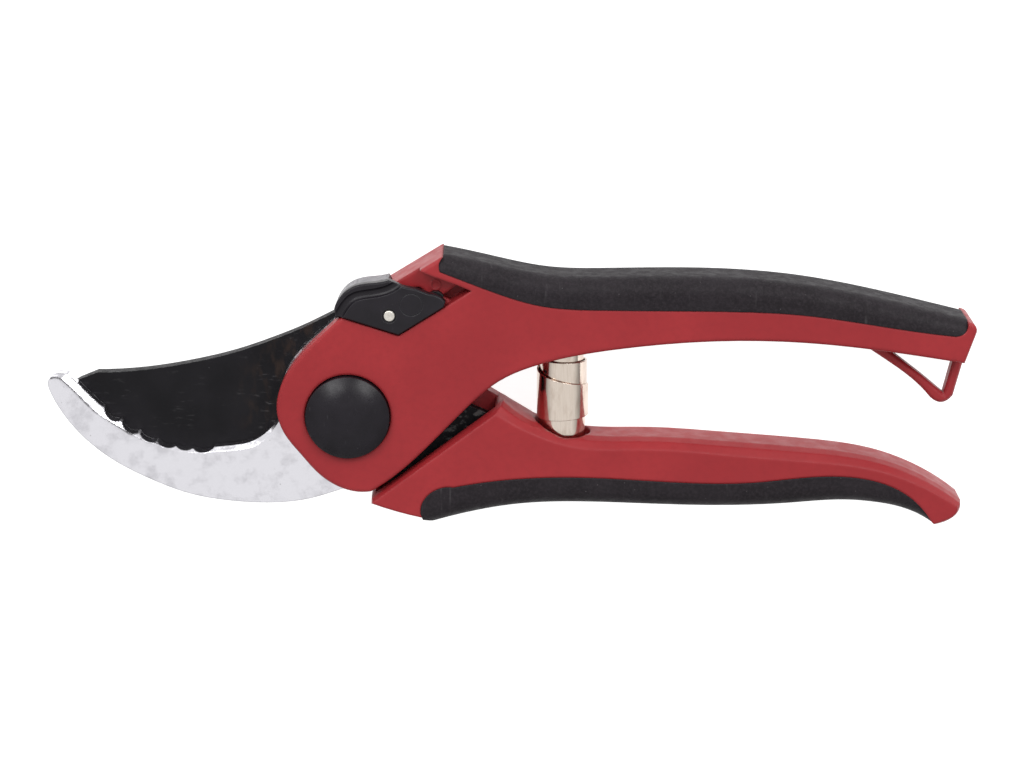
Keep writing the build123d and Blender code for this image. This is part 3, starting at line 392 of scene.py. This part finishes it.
red = red_nylon()
rubber = grip_rubber()
steel_bright = turned_metal("steel_bright", (0.66, 0.62, 0.56), (0.80, 0.77, 0.71), 0.30)
steel_black = turned_metal("steel_black", (0.030, 0.030, 0.033), (0.060, 0.060, 0.065), 0.35)
FINISHES = {
    "upper_handle": red,
    "lower_handle": red,
    "upper_grip": rubber,
    "lower_grip": rubber,
    "hook": hook_chrome(),
    "cutting_blade": blade_coated(),
    "pivot_cap": cap_plastic(),
    "lock_slider": lock_plastic(),
    "lock_pin": steel_bright,
    "pivot_nut": steel_bright,
    "pivot_washer": steel_bright,
    "lock_clip": steel_bright,
    "lock_detent_spring": steel_black,
    "pivot_bolt": steel_black,
    "hook_tang_screws": steel_black,
    "blade_tang_screws": steel_black,
    "upper_spring_peg": steel_black,
    "lower_spring_peg": steel_black,
    "pivot_bush": turned_metal("bush_bronze", (0.45, 0.27, 0.11), (0.60, 0.38, 0.18), 0.32),
}


def dress_nodes():
    """Give each CAD node its finish."""
    for name, material in FINISHES.items():
        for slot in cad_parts[name].material_slots:
            slot.material = material


# ---- volute spring: one strip, wound from the top pocket out to the middle and in to the bottom one ----
STRIP_T = 0.45 * MM
STRIP_EDGE = 0.10 * MM           # bevel along both edges of the strip
TURN_PITCH = 0.72 * MM           # each turn lies this much further in than its neighbour
FIRST_TURN, LAST_TURN = -2.75, 3.25    # strip's ends, in turns, counted up towards the upper handle
MIDDLE_TURN = (FIRST_TURN + LAST_TURN) / 2
STEPS_PER_TURN = 72
ROWS = 5                         # points up each side of the strip
OUTER_R = 6.02 * MM
SMOOTH_REACH = 0.1               # turns to each side over which an edge's height is averaged
SMOOTH_STEPS = 4
SHARP_ANGLE = math.radians(32)
# heights of the strip's two edges over the spring's lower end, as (turns, millimetres)
TOP_EDGE = [(-2.75, 5.5), (-1.75, 7.5), (-0.75, 10.0), (0.0, 12.7), (0.25, 14.2), (0.5, 16.4), (0.8, 18.0),
            (1.1, 18.5), (1.5, 18.8), (2.0, 21.3), (3.25, 21.5)]
BOTTOM_EDGE = [(-2.75, 0.1), (-0.6, 0.1), (-0.35, 2.4), (0.0, 5.8), (0.25, 5.4), (0.45, 4.9), (0.8, 5.6),
               (1.25, 8.0), (2.25, 11.5), (3.25, 14.0)]


def edge_height(edge, turns):
    """Return the height of one edge of the strip at this many turns, straight between its points."""
    for (start, low), (end, high) in zip(edge[:-1], edge[1:]):
        if turns <= end:
            share = max(0.0, (turns - start) / (end - start))
            return (low + (high - low) * share) * MM
    return edge[-1][1] * MM


def smooth_height(edge, turns):
    """Return the edge's height, averaged over a short stretch so that it has no corners."""
    offsets = [SMOOTH_REACH * step / SMOOTH_STEPS for step in range(-SMOOTH_STEPS, SMOOTH_STEPS + 1)]
    return sum(edge_height(edge, turns + offset) for offset in offsets) / len(offsets)


def strip_section(turns):
    """Return the strip's cross-section at this many turns, as (radius, height) pairs round its outline."""
    middle = OUTER_R - TURN_PITCH * abs(turns - MIDDLE_TURN) - STRIP_T / 2
    low, high = smooth_height(BOTTOM_EDGE, turns), smooth_height(TOP_EDGE, turns)
    outer, inner = middle + STRIP_T / 2, middle - STRIP_T / 2
    rows = [row / (ROWS - 1) for row in range(ROWS)]
    rise = high - low - 2 * STRIP_EDGE
    climb = [(outer, low + STRIP_EDGE + rise * share) for share in rows]
    descend = [(inner, high - STRIP_EDGE - rise * share) for share in rows]
    over = [(outer - STRIP_EDGE, high), (inner + STRIP_EDGE, high)]
    under = [(inner + STRIP_EDGE, low), (outer - STRIP_EDGE, low)]
    return [*climb, *over, *descend, *under]


def make_spring():
    """Wind the strip and let each turn follow the handles by its share of the way between them."""
    low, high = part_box("volute_spring")
    centre = (low + high) / 2
    steps = round((LAST_TURN - FIRST_TURN) * STEPS_PER_TURN)
    points, weights = [], []
    for step in range(steps + 1):
        turns = FIRST_TURN + step / STEPS_PER_TURN
        angle = 2 * math.pi * turns
        for radius, height in strip_section(turns):
            points.append((
                centre.x + radius * math.cos(angle), low.y + height, centre.z + radius * math.sin(angle),
            ))
            weights.append(1 - step / steps)
    ring = len(points) // (steps + 1)
    faces = []
    for step in range(steps):
        for corner in range(ring):
            following = (corner + 1) % ring
            faces.append((
                step * ring + corner, step * ring + following,
                (step + 1) * ring + following, (step + 1) * ring + corner,
            ))
    faces.append(tuple(range(ring - 1, -1, -1)))
    faces.append(tuple(steps * ring + corner for corner in range(ring)))
    mesh = bpy.data.meshes.new("wound_spring")
    mesh.from_pydata(points, [], faces)
    mesh.shade_smooth()
    mesh.set_sharp_from_angle(angle=SHARP_ANGLE)
    spring = bpy.data.objects.new("wound_spring", mesh)
    bpy.context.scene.collection.objects.link(spring)
    mesh.materials.append(spring_nickel())
    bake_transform(spring, "hook_handle", "blade_handle", start=(centre.x, high.y, centre.z),
             end=(centre.x, low.y, centre.z))
    mesh.attributes["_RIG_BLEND"].data.foreach_set("value", weights)
    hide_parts("volute_spring")


# ---- camera, light and floor, in metres, watts and shares of white ----
CAMERA_TILT = math.radians(15.0)     # leans over from the +Y side
CAMERA_DISTANCE = 0.65
CAMERA_LENS = 101.0                  # millimetres, as is the sensor's width
CAMERA_SENSOR = 36.0
AIM_OFFSET = Vector((0.45, 0.15, -2.1)) * MM
FLOOR_SIZE = 6.0
FLOOR_WHITE = 0.45
FLOOR_GLOW = 0.88
TENT_HEIGHT = (0.0, 0.70, 0.30, 0.88)    # Z of the direction and the tent's glow there, each from and to
TENT_PANEL = (0.10, 0.55, 0.30, 0.85)    # the same for Y
SOFTBOXES = {"softbox_left": (-0.45, 0.75, 0.75), "softbox_right": (0.55, 0.75, 0.75)}
SOFTBOX_SIZE = 0.55
SOFTBOX_POWER = 6.0


def make_camera():
    """Look at the middle of the object from the front, leaning over from above."""
    low, high = Vector(cad_box[0]), Vector(cad_box[1])
    target = (low + high) / 2 + AIM_OFFSET
    data = bpy.data.cameras.new("camera")
    data.lens = CAMERA_LENS
    data.sensor_width = CAMERA_SENSOR
    camera = bpy.data.objects.new("camera", data)
    bpy.context.scene.collection.objects.link(camera)
    direction = Vector((0, math.sin(CAMERA_TILT), math.cos(CAMERA_TILT)))
    camera.location = target + direction * CAMERA_DISTANCE
    camera.rotation_euler = (-CAMERA_TILT, 0, 0)
    bpy.context.scene.camera = camera
    return target


def add_softbox(name, spot, target):
    """Add a square area light at a spot, facing the target."""
    data = bpy.data.lights.new(name, "AREA")
    data.shape = "RECTANGLE"
    data.size, data.size_y = SOFTBOX_SIZE, SOFTBOX_SIZE
    data.energy = SOFTBOX_POWER
    light = bpy.data.objects.new(name, data)
    bpy.context.scene.collection.objects.link(light)
    light.location = spot
    light.rotation_euler = (Vector(spot) - target).to_track_quat("Z", "Y").to_euler()


def make_floor():
    """Add a plain white floor that glows a little, as paper lit from below does."""
    bpy.ops.mesh.primitive_plane_add(size=FLOOR_SIZE, location=(0, 0, 0))
    floor = bpy.context.object
    floor.name = "floor"
    material, _, shader = start_material("floor_white")
    shader.inputs["Base Color"].default_value = (FLOOR_WHITE, FLOOR_WHITE, FLOOR_WHITE, 1)
    shader.inputs["Roughness"].default_value = 0.9
    shader.inputs["Specular IOR Level"].default_value = 0.1
    shader.inputs["Emission Color"].default_value = (1, 1, 1, 1)
    shader.inputs["Emission Strength"].default_value = FLOOR_GLOW
    floor.data.materials.append(material)


def make_surround():
    """Light the scene from a white tent that is dimmer near the ground, except on the +Y side."""
    world = bpy.data.worlds.new("surround")
    bpy.context.scene.world = world
    world.use_nodes = True
    tree = world.node_tree
    direction = add_node(tree, "SeparateXYZ", {"Vector": texture_point(tree, "Generated")})
    height = remap(tree, direction.outputs["Z"], *TENT_HEIGHT)
    panel = remap(tree, direction.outputs["Y"], *TENT_PANEL)
    glow = maths(tree, "MAXIMUM", height, panel)
    background = tree.nodes["Background"]
    background.inputs["Color"].default_value = (1, 1, 1, 1)
    tree.links.new(glow, background.inputs["Strength"])


dress_nodes()
make_spring()
camera_target = make_camera()
make_floor()
make_surround()
for softbox, spot in SOFTBOXES.items():
    add_softbox(softbox, spot, camera_target)
bpy.context.scene.view_settings.view_transform = "Standard"
